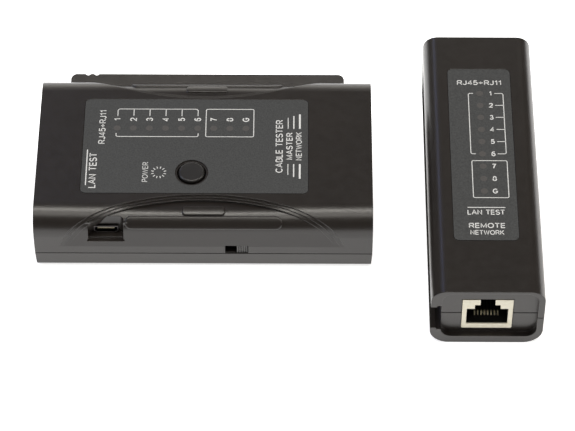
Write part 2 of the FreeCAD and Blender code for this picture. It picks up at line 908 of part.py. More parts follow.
def make_usb():
    half = "usb_width / 2"
    body = new_body("usb_shell_body")
    outline = [
        ("0 - %s + 0.9" % half, "0"),
        (half + " - 0.9", "0"),
        (half, "0.9"),
        (half, "usb_height"),
        ("0 - " + half, "usb_height"),
        ("0 - " + half, "0.9"),
    ]
    skin = "usb_skin"
    inner = [
        ("0 - %s + 0.9 + %s / 2" % (half, skin), skin),
        ("%s - 0.9 - %s / 2" % (half, skin), skin),
        ("%s - %s" % (half, skin), "0.9 + %s / 2" % skin),
        ("%s - %s" % (half, skin), "usb_height - " + skin),
        ("0 - %s + %s" % (half, skin), "usb_height - " + skin),
        ("0 - %s + %s" % (half, skin), "0.9 + %s / 2" % skin),
    ]
    pad(body, polygon(body, "usb_outline", "XZ_Plane", outline), "usb_depth", reverse=True)
    pocket(body, polygon(body, "usb_inside", "XZ_Plane", inner), "usb_depth")
    hand_over_at(body, "usb_shell", MASTER_PLACE, "usb_x", "usb_front", "usb_z")
    tongue_block = new_body("usb_tongue_body")
    back = rectangle(tongue_block, "usb_back_wall", "XZ_Plane", "-2.8", skin, "2.8", "usb_height - " + skin)
    pad(tongue_block, back, "1.2", reverse=True)
    blade = rectangle(tongue_block, "usb_blade", "XZ_Plane", "-2.6", "1.35", "2.6", "1.95")
    pad(tongue_block, blade, "3.6")
    hand_over_at(tongue_block, "usb_tongue", MASTER_PLACE, "usb_x", "usb_front + usb_depth - 1.2", "usb_z")


# ---------------------------------------------------------------- lamps and boards


def make_lamp(name, x, y, foot, shoulder_z, height):
    """A round lamp with a dome, a flange and two leads, standing on a board."""
    stem = cylinder(name + "_stem", x, y, shoulder_z, "lamp_radius", height)
    dome = ball(name + "_dome", x, y, "%s + %s" % (shoulder_z, height), "lamp_radius - 0.01")
    flange = cylinder(name + "_flange", x, y, shoulder_z, "lamp_radius + 0.2", "0.6")
    pieces = [stem, dome, flange]
    for number, side in enumerate(("0.65 - 0.25", "-0.65 - 0.25")):
        lead = box(
            "%s_lead_%d" % (name, number),
            "%s + %s" % (x, side),
            y + " - 0.2",
            foot,
            "0.45",
            "0.4",
            "%s - (%s) + 0.3" % (shoulder_z, foot),
        )
        pieces.append(lead)
    return fuse(name, pieces)


def make_lamps():
    top = "top_board_z + board_thick"
    row = []
    for number in range(9):
        x = "lamp_first + %d * lamp_pitch" % number
        row.append(make_lamp("test_lamp_%d" % number, x, "lamp_row", top, "lamp_shoulder", "3.7"))
    hand_over(compound("test_lamps", row), "master_lamps", MASTER_PLACE)
    power = make_lamp("power_lamp_piece", "power_x", "power_y", top, "lamp_shoulder", "3.7")
    hand_over(power, "power_lamp", MASTER_PLACE)
    far_row = []
    remote_top = "remote_board_z + board_thick"
    for number in range(9):
        y = "remote_lamp_first + %d * lamp_pitch" % number
        name = "far_lamp_%d" % number
        far_row.append(make_lamp(name, "remote_lamp_x", y, remote_top, "remote_board_z + 2.1", "1.7"))
    hand_over(compound("far_lamps", far_row), "remote_lamps", REMOTE_PLACE)


def make_board(label, place, x, y, z, length, width, holes, radius):
    """A circuit board with round holes, given from the unit's corner."""
    body = new_body(label + "_body")
    outline = rectangle(body, label + "_outline", "XY_Plane", "0", "0", length, width)
    pad(body, outline, "board_thick")
    for number, (hole_x, hole_y) in enumerate(holes):
        spot = ("%s - (%s)" % (hole_x, x), "%s - (%s)" % (hole_y, y))
        hole = disc(body, "%s_hole_%d" % (label, number), "XY_Plane", *spot, radius)
        pocket(body, hole, "5", reverse=True)
    hand_over_at(body, label, place, x, y, z)


def make_boards():
    left_bosses = screw_places()[:2]
    make_board(
        "master_main_board",
        MASTER_PLACE,
        "4.8",
        "2.7",
        "main_board_z",
        "61.8",
        "master_depth - 5.4",
        left_bosses,
        "3.7",
    )
    make_board(
        "master_top_board",
        MASTER_PLACE,
        "18.0",
        "5.7",
        "top_board_z",
        "48.6",
        "master_depth - 11.8",
        [],
        "1.6",
    )
    make_board(
        "remote_board",
        REMOTE_PLACE,
        "slot_wall + 2.3",
        "4.6",
        "remote_board_z",
        "remote_half - remote_right_wall - slot_wall - 2.6",
        "unit_length - 9.2",
        remote_screw_places(),
        "3.2",
    )
    rise = "top_board_z - main_board_z - board_thick"
    header = box("header_block", "0", "0", "0", "2.5", "20.3", rise)
    hand_over_at(header, "board_header", MASTER_PLACE, "61.5", "22", "main_board_z + board_thick")


def chip(name, x, y, z, length, width, thick, legs):
    """A chip with a row of legs along each long side, on a board's upper face at z."""
    pieces = [box(name + "_case", x, y, "%s + 0.15" % z, length, width, thick)]
    for number in range(legs):
        step = "%s + 0.45 + %d * 1.27" % (x, number)
        for side, spot in (("a", "%s - 0.9" % y), ("b", "%s + %s - 0.1" % (y, width))):
            pieces.append(box("%s_leg_%s%d" % (name, side, number), step, spot, z, "0.45", "1.0", "0.5"))
    return fuse(name, pieces)


def make_chips():
    top = "main_board_z + board_thick"
    counter = chip("counter_chip", "30", "26", top, "10", "3.9", "1.5", 8)
    driver = chip("driver_chip", "46", "30", top, "10", "3.9", "1.5", 8)
    hand_over(compound("chips", [counter, driver]), "master_chips", MASTER_PLACE)
    resistors = []
    for number in range(9):
        x = "lamp_first + %d * lamp_pitch - 0.8" % number
        upper = "top_board_z + board_thick"
        resistors.append(box("resistor_%d" % number, x, "lamp_row - 6", upper, "1.6", "0.8", "0.5"))
    hand_over(compound("resistors", resistors), "master_resistors", MASTER_PLACE)
    far = []
    for number in range(9):
        y = "remote_lamp_first + %d * lamp_pitch - 0.8" % number
        upper = "remote_board_z + board_thick"
        far.append(box("far_resistor_%d" % number, "3.4", y, upper, "0.8", "1.6", "0.5"))
    hand_over(compound("far_resistors", far), "remote_resistors", REMOTE_PLACE)


# ---------------------------------------------------------------- battery and its door


def make_battery():
    block = box(
        "battery_block",
        "battery_left",
        "battery_front",
        "battery_z",
        "battery_width",
        "battery_length",
        "battery_thick",
    )
    can = rounded("battery_can", block, "2.2", runs(Y_WAY))
    end = "battery_front + battery_length - 0.5"
    middle = "battery_left + battery_width / 2"
    height = "battery_z + battery_thick / 2"
    small = cylinder("battery_small_stud", middle + " - 6.35", end, height, "2.9", "2.4", "y")
    large = cylinder("battery_large_stud", middle + " + 6.35", end, height, "3.9", "2.4", "y")
    hand_over(fuse("battery_whole", [can, small, large]), "battery", MASTER_PLACE)
    snap_y = "battery_front + battery_length + 1.95"
    snap_block = box("snap_block", middle + " - 12.5", snap_y, height + " - 6", "25", "3.2", "12")
    snap = rounded("snap_plate", snap_block, "5.5", runs(Y_WAY))
    hand_over(snap, "battery_snap", MASTER_PLACE)


def lead_wire(label, height, landing):
    """A battery lead: out of the snap along -X, then down onto the main board."""
    radius = 0.65
    start_y = amount("battery_front + battery_length + 4.45")
    start = Vector(amount("battery_left + 1.0"), start_y, height)
    board = amount("main_board_z + board_thick")
    bend = 2.4
    turn = Vector(landing, start_y, height)
    foot = Vector(landing, start_y, board)
    before = turn + Vector(bend, 0, 0)
    after = turn - Vector(0, 0, bend)
    slack = bend * (1 - math.sqrt(0.5))
    middle = turn + Vector(slack, 0, -slack)
    edges = [
        Part.LineSegment(start, before).toShape(),
        Part.Arc(before, middle, after).toShape(),
        Part.LineSegment(after, foot).toShape(),
    ]
    path = Part.Wire(edges)
    ring = Part.Wire(Part.Circle(start, X_WAY, radius).toShape())
    feature = doc.addObject("Part::Feature", label + "_tube")
    feature.Shape = path.makePipeShell([ring], True, False)
    hand_over(feature, label, MASTER_PLACE)


def make_door():
    width = "master_depth - 2 * door_margin"
    length = "unit_length - foot_lean - door_left"
    plate_block = box("door_plate_block", "door_left", "door_margin", "0", length, width, "door_thick")
    right_end = amount("unit_length") - 1
    plate = rounded(
        "door_plate",
        plate_block,
        "foot_round - 0.1",
        lambda edge: edge.CenterOfMass.x > right_end and edge.CenterOfMass.z < 0.01,
    )
    tongue = box(
        "door_tongue",
        "door_left",
        "door_margin - 0.9",
        "0.9",
        "unit_length - end_inset - 0.3 - door_left",
        width + " + 1.8",
        "door_thick - 0.9",
    )
    grips = []
    for number in range(5):
        x = "unit_length - 14 + %d * 1.8" % number
        grips.append(box("door_grip_%d" % number, x, "master_depth / 2 - 8", "-1", "0.8", "16", "1.4"))
    door = cut("door", fuse("door_whole", [plate, tongue]), grips)
    hand_over(door, "battery_door", MASTER_PLACE)


# ---------------------------------------------------------------- screws


def screw(name, x, y, low, length):
    """A pan-head screw with a cross slot, its head at the bottom."""
    head = cylinder(name + "_head", x, y, low, "2.6", "1.6")
    shank = cylinder(name + "_shank", x, y, low + " + 1.6", "1.25", length)
    slots = [
        box(name + "_slot_a", x + " - 1.6", y + " - 0.25", "%s - 1" % low, "3.2", "0.5", "1.8"),
        box(name + "_slot_b", x + " - 0.25", y + " - 1.6", "%s - 1" % low, "0.5", "3.2", "1.8"),
    ]
    return cut(name, fuse(name + "_blank", [head, shank]), slots)


def make_screws():
    units = [
        ("master_screws", screw_places(), "9.5", MASTER_PLACE),
        ("remote_screws", remote_screw_places(), "14", REMOTE_PLACE),
    ]
    for label, spots, length, place in units:
        screws = []
        for number, (x, y) in enumerate(spots):
            screws.append(screw("%s_%d" % (label, number), x, y, "0.6", length))
        hand_over(compound(label + "_set", screws), label, place)


# ---------------------------------------------------------------- remote shells


def remote_screw_places():
    return [("10.6", "28"), ("10.6", "80")]


def remote_end_pocket(name, front):
    """The pocket that sets a remote end face back behind its rim."""
    block = box(
        name + "_block",
        "slot_wall",
        front,
        "3.0",
        "remote_half - 2.0 - slot_wall",
        "end_inset + 1",
        "remote_height - 3.9",
    )
    top = rounded(name + "_top", block, "remote_top_round - 0.9", runs(Y_WAY, low=12))
    return rounded(name, top, "3.4", runs(Y_WAY, high=12))


def remote_tools(name):
    """What is cut from both remote shells: ends, jack windows, cavity and docking slot."""
    front_pocket = remote_end_pocket(name + "_front", "-1")
    back_pocket = remote_end_pocket(name + "_back", "unit_length - end_inset")
    tools = [front_pocket, back_pocket]
    cavity_left = "slot_wall + 2.0"
    tools.append(
        box(
            name + "_cavity",
            cavity_left,
            "end_wall",
            "2.2",
            "remote_half - remote_right_wall - (%s)" % cavity_left,
            "unit_length - 2 * end_wall",
            "remote_height - remote_roof - 2.2",
        )
    )
    for side, width, front in (("front", "rj45_width", "1"), ("back", "rj11_width", "unit_length - 6")):
        tools.append(
            box(
                "%s_window_%s" % (name, side),
                "remote_jack_x - %s / 2 - jack_gap" % width,
                front,
                "remote_jack_z - jack_gap",
                "%s + 2 * jack_gap" % width,
                "5",
                "jack_height + 2 * jack_gap",
            )
        )
    run = "unit_length - slot_stop + 1"
    mouth_reach = "30 - remote_half + slot_lip + 0.1"
    mouth_height = "slot_high - slot_low"
    tools.append(box(name + "_slot_mouth", "-30", "-1", "slot_low", mouth_reach, run, mouth_height))
    inner = "slot_high - slot_low + 2 * slot_hook"
    tools.append(
        box(
            name + "_slot_deep",
            "slot_lip - remote_half",
            "-1",
            "slot_low - slot_hook",
            "remote_half - slot_lip + slot_wall",
            run,
            inner,
        )
    )
    tools.append(box(name + "_spring_window", "slot_wall - 0.5", "86.5", "10.1", "3.5", "9.6", "4.2"))
    return tools


def make_remote_upper_shell():
    height = "remote_height - remote_seam"
    width = "2 * remote_half"
    block = box("far_upper_block", "0 - remote_half", "0", "remote_seam", width, "unit_length", height)
    shell = rounded("far_upper_outer", block, "remote_top_round", runs(Y_WAY, low=20))
    for number, tool in enumerate(remote_tools("far_upper")):
        shell = cut("far_upper_cut_%d" % number, shell, [tool])
    bosses = []
    for number, (x, y) in enumerate(remote_screw_places()):
        boss_height = "remote_height - remote_seam - 1"
        bosses.append(cylinder("far_upper_boss_%d" % number, x, y, "remote_seam", "3.0", boss_height))
    shell = fuse("far_upper_whole", [shell] + bosses)
    tools = []
    for number, (x, y) in enumerate(remote_screw_places()):
        tools.append(cylinder("far_upper_bore_%d" % number, x, y, "11", "1.3", "6"))
    for number in range(9):
        y = "remote_lamp_first + %d * lamp_pitch" % number
        tools.append(cylinder("far_lamp_bore_%d" % number, "remote_lamp_x", y, "21", "lamp_hole", "5"))
    seat_block = box(
        "far_label_seat_block",
        "remote_label_left - 0.1",
        "remote_label_front - 0.1",
        "remote_height - label_sink",
        "remote_label_width + 0.2",
        "label_length + 0.2",
        "2",
    )
    tools.append(rounded("far_label_seat", seat_block, "label_round", runs(Z_WAY)))
    for number, tool in enumerate(tools):
        shell = cut("far_upper_trim_%d" % number, shell, [tool])
    hand_over(shell, "remote_upper_shell", REMOTE_PLACE)


def make_remote_lower_shell():
    width = "2 * remote_half"
    block = box("far_lower_block", "0 - remote_half", "0", "0", width, "unit_length", "remote_seam")
    shell = rounded("far_lower_outer", block, "remote_foot_round", runs(Y_WAY, high=1))
    for number, tool in enumerate(remote_tools("far_lower")):
        shell = cut("far_lower_cut_%d" % number, shell, [tool])
    bosses = []
    tools = []
    for number, (x, y) in enumerate(remote_screw_places()):
        bosses.append(cylinder("far_lower_boss_%d" % number, x, y, "1", "3.4", "remote_seam - 1"))
        tools.append(cylinder("far_head_bore_%d" % number, x, y, "-1", "2.9", "3.2"))
        tools.append(cylinder("far_shank_bore_%d" % number, x, y, "1", "1.5", "14"))
    tools.append(
        seam_groove(
            "far_lower_seam",
            "2 * remote_half",
            "unit_length",
            "remote_seam",
            left="0 - remote_half",
            side="end_inset + seam_depth",
        )
    )
    shell = fuse("far_lower_whole", [shell] + bosses)
    for number, tool in enumerate(tools):
        shell = cut("far_lower_trim_%d" % number, shell, [tool])
    hand_over(shell, "remote_lower_shell", REMOTE_PLACE)


def make_click_spring():
    """A leaf spring behind the slot's wall, whose bump clicks into the rail's notches."""
    leaf = box("spring_leaf", "slot_wall + 2.0", "85.5", "10.4", "0.4", "11.6", "3.6")
    stem = box("spring_stem", "slot_wall + 0.4", "90.1", "10.5", "1.7", "2.4", "3.4")
    bump = cylinder("spring_bump", "slot_wall + 0.8", "91.3", "10.5", "1.2", "3.4")
    hand_over(fuse("spring_whole", [leaf, stem, bump]), "remote_click_spring", REMOTE_PLACE)


# ---------------------------------------------------------------- build


make_master_upper_shell()
make_master_lower_shell()
label_z = "master_height - label_sink"
master_label_at = ("label_left", "label_front", label_z)
make_label("master_label", MASTER_PLACE, *master_label_at, "label_length", "label_width", button=True)
far_label_z = "remote_height - label_sink"
far_label_at = ("remote_label_left", "remote_label_front", far_label_z)
make_label("remote_label", REMOTE_PLACE, *far_label_at, "remote_label_width", "label_length")
make_test_button()
make_tact_switch()
make_slide_switch()
make_jacks()
make_usb()
make_lamps()
make_boards()
make_chips()
make_battery()
lead_wire("battery_lead_red", 12.4, 62.4)
lead_wire("battery_lead_black", 8.6, 65.2)
make_door()
make_screws()
make_remote_upper_shell()
make_remote_lower_shell()
make_click_spring()

doc.recompute()
for feature in doc.Objects:
    if "Invalid" in feature.State or "Error" in feature.State:
        raise ValueError("%s failed: %s" % (feature.Name, feature.State))
for feature in subparts:
    if feature.Shape.isNull() or not feature.Shape.isValid():
        raise ValueError(feature.Label + " has no valid shape")

os.makedirs("parts", exist_ok=True)
for feature in subparts:
    feature.Shape.exportStep("parts/%s.step" % feature.Label)
    size = feature.Shape.BoundBox
    low = (size.XMin, size.YMin, size.ZMin)
    high = (size.XMax, size.YMax, size.ZMax)
    volume = feature.Shape.Volume
    print(feature.Label, len(feature.Shape.Solids), "solids", round(volume, 1), "mm3", low, high)
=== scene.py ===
import json
import math

import bmesh
import bpy
from mathutils import Matrix, Vector


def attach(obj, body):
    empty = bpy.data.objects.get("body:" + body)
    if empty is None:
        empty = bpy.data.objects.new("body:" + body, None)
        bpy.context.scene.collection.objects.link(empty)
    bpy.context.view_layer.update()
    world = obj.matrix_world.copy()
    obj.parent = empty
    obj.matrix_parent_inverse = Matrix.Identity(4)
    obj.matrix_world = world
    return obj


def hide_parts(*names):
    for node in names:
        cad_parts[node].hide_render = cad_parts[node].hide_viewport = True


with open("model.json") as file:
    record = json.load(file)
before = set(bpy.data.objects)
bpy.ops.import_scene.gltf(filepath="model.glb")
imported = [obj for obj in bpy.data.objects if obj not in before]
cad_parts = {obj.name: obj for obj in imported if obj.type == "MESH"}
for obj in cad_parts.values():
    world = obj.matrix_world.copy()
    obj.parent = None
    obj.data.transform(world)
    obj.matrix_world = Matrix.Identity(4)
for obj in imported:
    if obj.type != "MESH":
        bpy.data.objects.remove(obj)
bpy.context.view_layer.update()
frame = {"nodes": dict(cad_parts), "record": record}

scene = bpy.context.scene
scene.view_settings.view_transform = "Standard"

# Sizes and places are in millimetres, and MM turns them into the scene's metres.
MM = 0.001

# Each unit's marks are laid out from the unit's own corner.
MASTER_CORNER = Vector((-78.28, -23.0, 0.0))
REMOTE_CORNER = Vector((61.03, -52.5, 0.0))

# ---------------------------------------------------------------- camera

CAMERA_PLACE = Vector((3.17, -601.0, 717.8)) * MM
CAMERA_AIM = Vector((0.21, -2.33, 0.0)) * MM
LENS = 184.4
FILM_WIDTH = 36.0
NEAR_CLIP = 0.05
FAR_CLIP = 20.0


def point_at(thing, place, aim):
    """Put a camera or a light at a place, with its view or beam towards the aim."""
    thing.location = place
    thing.rotation_euler = (Vector(aim) - Vector(place)).to_track_quat("-Z", "Y").to_euler()


def make_camera():
    data = bpy.data.cameras.new("camera")
    data.lens = LENS
    data.sensor_width = FILM_WIDTH
    data.clip_start = NEAR_CLIP
    data.clip_end = FAR_CLIP
    camera = bpy.data.objects.new("camera", data)
    scene.collection.objects.link(camera)
    point_at(camera, CAMERA_PLACE, CAMERA_AIM)
    scene.camera = camera


# ---------------------------------------------------------------- node tools

NOISE_ROUGHNESS = 0.55
BEVEL_SAMPLES = 6


class Shader:
    """A material's node tree with short calls for the nodes that the looks below use."""

    def __init__(self, name):
        self.material = bpy.data.materials.new(name)
        self.material.use_nodes = True
        self.tree = self.material.node_tree
        self.skin = self.tree.nodes["Principled BSDF"]

    def node(self, kind, **settings):
        made = self.tree.nodes.new(kind)
        for name, value in settings.items():
            setattr(made, name, value)
        return made

    def link(self, source, target):
        self.tree.links.new(source, target)

    def set(self, **values):
        """Plain numbers and colours go on the shader's own sockets."""
        for name, value in values.items():
            self.skin.inputs[name.replace("_", " ")].default_value = value

    def color(self, source):
        self.link(source, self.skin.inputs["Base Color"])

    def rough(self, source):
        self.link(source, self.skin.inputs["Roughness"])

    def place(self, grain=1.0, stretch=(1, 1, 1)):
        """Object coordinates in steps of grain millimetres."""
        coords = self.node("ShaderNodeTexCoord")
        mapping = self.node("ShaderNodeMapping")
        factor = 1 / (grain * MM)
        mapping.inputs["Scale"].default_value = tuple(factor * part for part in stretch)
        self.link(coords.outputs["Object"], mapping.inputs["Vector"])
        return mapping.outputs["Vector"]

    def noise(self, grain, detail=3.0, stretch=(1, 1, 1)):
        """Noise whose blobs are about grain millimetres wide."""
        made = self.node("ShaderNodeTexNoise")
        made.inputs["Scale"].default_value = 1.0
        made.inputs["Detail"].default_value = detail
        made.inputs["Roughness"].default_value = NOISE_ROUGHNESS
        self.link(self.place(grain, stretch), made.inputs["Vector"])
        return made.outputs["Fac"]

    def cells(self, grain):
        """Distance to the nearest of scattered points about grain millimetres apart."""
        made = self.node("ShaderNodeTexVoronoi")
        made.inputs["Scale"].default_value = 1.0
        self.link(self.place(grain), made.inputs["Vector"])
        return made.outputs["Distance"]

    def along(self, axis):
        """One object coordinate in millimetres."""
        split = self.node("ShaderNodeSeparateXYZ")
        self.link(self.place(), split.inputs["Vector"])
        return split.outputs["XYZ".index(axis)]

    def math(self, operation, first, second=None):
        made = self.node("ShaderNodeMath", operation=operation)
        for socket, value in zip(made.inputs, (first, second)):
            if isinstance(value, (int, float)):
                socket.default_value = value
            elif value is not None:
                self.link(value, socket)
        return made.outputs["Value"]

    def ramp(self, source, low, high, low_at=0.0, high_at=1.0):
        """Map a value onto a run between two numbers or two colours."""
        run = self.node("ShaderNodeMapRange")
        run.inputs["From Min"].default_value = low_at
        run.inputs["From Max"].default_value = high_at
        self.link(source, run.inputs["Value"])
        if not isinstance(low, tuple):
            run.inputs["To Min"].default_value = low
            run.inputs["To Max"].default_value = high
            return run.outputs["Result"]
        return self.mix(run.outputs["Result"], low, high)

    def mix(self, factor, low, high):
        """Mix two colours, each a tuple or a socket."""
        made = self.node("ShaderNodeMix", data_type="RGBA")
        self.link(factor, made.inputs["Factor"])
        for name, value in (("A", low), ("B", high)):
            socket = next(s for s in made.inputs if s.name == name and s.type == "RGBA")
            if isinstance(value, tuple):
                socket.default_value = (*value, 1)
            else:
                self.link(value, socket)
        return next(s for s in made.outputs if s.type == "RGBA")

    def bump(self, height, depth_mm, edge_mm=0.0):
        """Bump of a depth in millimetres, over edges that are rounded by edge_mm."""
        made = self.node("ShaderNodeBump")
        made.inputs["Distance"].default_value = depth_mm * MM
        self.link(height, made.inputs["Height"])
        if edge_mm:
            soft = self.node("ShaderNodeBevel", samples=BEVEL_SAMPLES)
            soft.inputs["Radius"].default_value = edge_mm * MM
            self.link(soft.outputs["Normal"], made.inputs["Normal"])
        self.link(made.outputs["Normal"], self.skin.inputs["Normal"])


# ---------------------------------------------------------------- looks


# In the looks below, noise and cells take the width of a blob, and bump takes a depth.


def moulded_plastic(name, dark, light, rough, grain=0.25, depth=0.014, edge=0.25, shine=0.5):
    """Moulded plastic: a fine spark texture, slow colour drift, patchy gloss and rare scuffs."""
    shader = Shader(name)
    drift = shader.ramp(shader.noise(16.0), dark, light, 0.3, 0.7)
    scuff = shader.ramp(shader.noise(0.9, detail=5.0, stretch=(1, 6, 1)), 0.0, 0.35, 0.66, 0.8)
    shader.color(shader.mix(scuff, drift, tuple(part * 1.5 for part in light)))
    shader.rough(shader.ramp(shader.noise(3.0, detail=4.0), rough - 0.05, rough + 0.06))
    shader.set(Specular_IOR_Level=shine, IOR=1.52)
    shader.bump(shader.noise(grain, detail=2.0), depth, edge_mm=edge)
    return shader.material


def metal(name, color, rough, brush=(1, 1, 1), grain=0.3):
    """Plated or drawn metal with streaks along its brush."""
    shader = Shader(name)
    streak = shader.noise(grain, detail=4.0, stretch=brush)
    shader.color(shader.ramp(streak, tuple(part * 0.8 for part in color), color, 0.25, 0.75))
    shader.rough(shader.ramp(streak, rough - 0.06, rough + 0.08))
    shader.set(Metallic=1.0)
    shader.bump(streak, 0.004, edge_mm=0.06)
    return shader.material


def label_film(name):
    """Printed polyester film: dark grey, fine matt grain and a slow unevenness."""
    shader = Shader(name)
    grain = shader.noise(0.4)
    speck = shader.ramp(grain, (0.03, 0.031, 0.0315), (0.062, 0.064, 0.064), 0.32, 0.68)
    drift = shader.ramp(shader.noise(22.0), 0.0, 0.3, 0.35, 0.75)
    shader.color(shader.mix(drift, speck, (0.05, 0.0515, 0.052)))
    shader.rough(shader.ramp(shader.noise(5.0), 0.5, 0.6))
    shader.set(Specular_IOR_Level=0.42)
    shader.bump(grain, 0.004, edge_mm=0.05)
    return shader.material


def print_ink(name):
    """White screen print with slightly uneven cover."""
    shader = Shader(name)
    cover = shader.noise(0.35, detail=4.0)
    shader.color(shader.ramp(cover, (0.62, 0.62, 0.61), (0.8, 0.8, 0.79), 0.3, 0.6))
    shader.rough(shader.ramp(shader.noise(0.5), 0.5, 0.62))
    shader.bump(shader.noise(0.2), 0.003)
    return shader.material


def lamp_window(name):
    """The thin film over a lamp, through which the unlit lamp shows as a brownish spot."""
    shader = Shader(name)
    spot = shader.noise(0.5)
    shader.color(shader.ramp(spot, (0.062, 0.058, 0.056), (0.08, 0.074, 0.071), 0.3, 0.7))
    shader.rough(shader.ramp(shader.noise(0.8), 0.42, 0.55))
    shader.bump(shader.noise(0.18), 0.003)
    return shader.material


def depth_behind(shader, axis, face, inward):
    """How far a point lies behind a face at a place along an axis; inward is 1 or -1."""
    return shader.math("MULTIPLY", shader.math("SUBTRACT", shader.along(axis), face), inward)


def jack_plastic(name, axis, face, inward):
    """Cream nylon at the face, with painted shade in the jack's throat: near black from 0.45 mm
    behind the face.
    """
    shader = Shader(name)
    depth = depth_behind(shader, axis, face, inward)
    cream = shader.ramp(shader.noise(1.2), (0.78, 0.73, 0.58), (0.84, 0.8, 0.66), 0.3, 0.7)
    # Painted shade: the cream fades to near black between 0.25 and 0.45 mm behind the face.
    shader.color(shader.mix(shader.ramp(depth, 0.0, 1.0, 0.25, 0.45), cream, (0.006, 0.006, 0.006)))
    shader.rough(shader.ramp(shader.noise(2.0), 0.38, 0.5))
    shader.bump(shader.noise(0.4), 0.006, edge_mm=0.1)
    return shader.material


def contact_metal(name, axis, front, inward):
    """Gold-plated spring contacts, with painted shade that makes them near black where they run
    back into the throat.
    """
    shader = Shader(name)
    depth = depth_behind(shader, axis, front, inward)
    wear = shader.noise(0.3, detail=4.0)
    gold = shader.ramp(wear, (0.95, 0.82, 0.55), (1.0, 0.92, 0.72), 0.3, 0.7)
    # Painted shade: the gold fades to near black from 1.1 to 1.7 mm behind the contacts' front.
    shader.color(shader.mix(shader.ramp(depth, 0.0, 1.0, 1.1, 1.7), gold, (0.02, 0.016, 0.01)))
    shader.rough(shader.ramp(shader.noise(0.4), 0.3, 0.45))
    shader.set(Metallic=0.25)
    shader.bump(shader.noise(0.25, stretch=(4, 1, 1)), 0.002)
    return shader.material


def usb_metal(name, front, color):
    """A USB socket's steel or tongue, with painted shade that makes it near black a little way
    inside the mouth.
    """
    shader = Shader(name)
    depth = depth_behind(shader, "Y", front, 1)
    wear = shader.noise(0.3, detail=4.0)
    bright = shader.ramp(wear, tuple(part * 0.8 for part in color), color, 0.3, 0.7)
    # Painted shade: the colour fades to near black from 0.1 to 0.35 mm behind the front.
    shader.color(shader.mix(shader.ramp(depth, 0.0, 1.0, 0.1, 0.35), bright, (0.02, 0.02, 0.02)))
    shader.rough(shader.ramp(shader.noise(0.6), 0.25, 0.4))
    shader.set(Metallic=1.0)
    shader.bump(shader.noise(0.3, stretch=(1, 5, 1)), 0.003, edge_mm=0.05)
    return shader.material


def circuit_board(name):
    """Green solder mask over copper tracks and plated rings."""
    shader = Shader(name)
    track = shader.ramp(shader.noise(1.6, detail=0.0, stretch=(1, 3, 1)), 0.0, 1.0, 0.52, 0.54)
    mask = shader.mix(track, (0.006, 0.05, 0.018), (0.02, 0.12, 0.04))
    ring = shader.ramp(shader.cells(3.4), 1.0, 0.0, 0.11, 0.13)
    shader.color(shader.mix(ring, mask, (0.6, 0.42, 0.18)))
    shader.rough(shader.ramp(shader.noise(4.0), 0.3, 0.42))
    shader.bump(track, 0.03, edge_mm=0.08)
    return shader.material


def battery_wrap(name):
    """A generic 9 V battery's foil: dark blue body with a silver band at its stud end."""
    shader = Shader(name)
    end = shader.ramp(shader.along("Y"), 0.0, 1.0, 16.0, 16.3)
    body = shader.ramp(shader.noise(6.0), (0.012, 0.02, 0.07), (0.02, 0.03, 0.1), 0.3, 0.7)
    shader.color(shader.mix(end, body, (0.5, 0.5, 0.52)))
    shader.rough(shader.ramp(shader.noise(2.5), 0.24, 0.4))
    shader.set(Metallic=0.6)
    shader.bump(shader.noise(3.0, detail=5.0), 0.02, edge_mm=0.2)
    return shader.material


def lamp_resin(name):
    """Clear milky lamp resin over plated leads."""
    shader = Shader(name)
    shader.color(shader.ramp(shader.noise(0.8), (0.6, 0.57, 0.52), (0.74, 0.71, 0.66), 0.3, 0.7))
    shader.rough(shader.ramp(shader.noise(1.0), 0.1, 0.2))
    shader.set(Transmission_Weight=0.5, IOR=1.5)
    shader.bump(shader.noise(1.5), 0.004)
    return shader.material


# Where the sockets' faces lie, and how far behind a jack's face its contacts start.
MASTER_JACK_FACE = -76.43
REMOTE_NEAR_FACE = -50.65
REMOTE_FAR_FACE = 50.65
CONTACT_STEP = 3.1
USB_FRONT = -19.5
TONGUE_STEP = 0.5


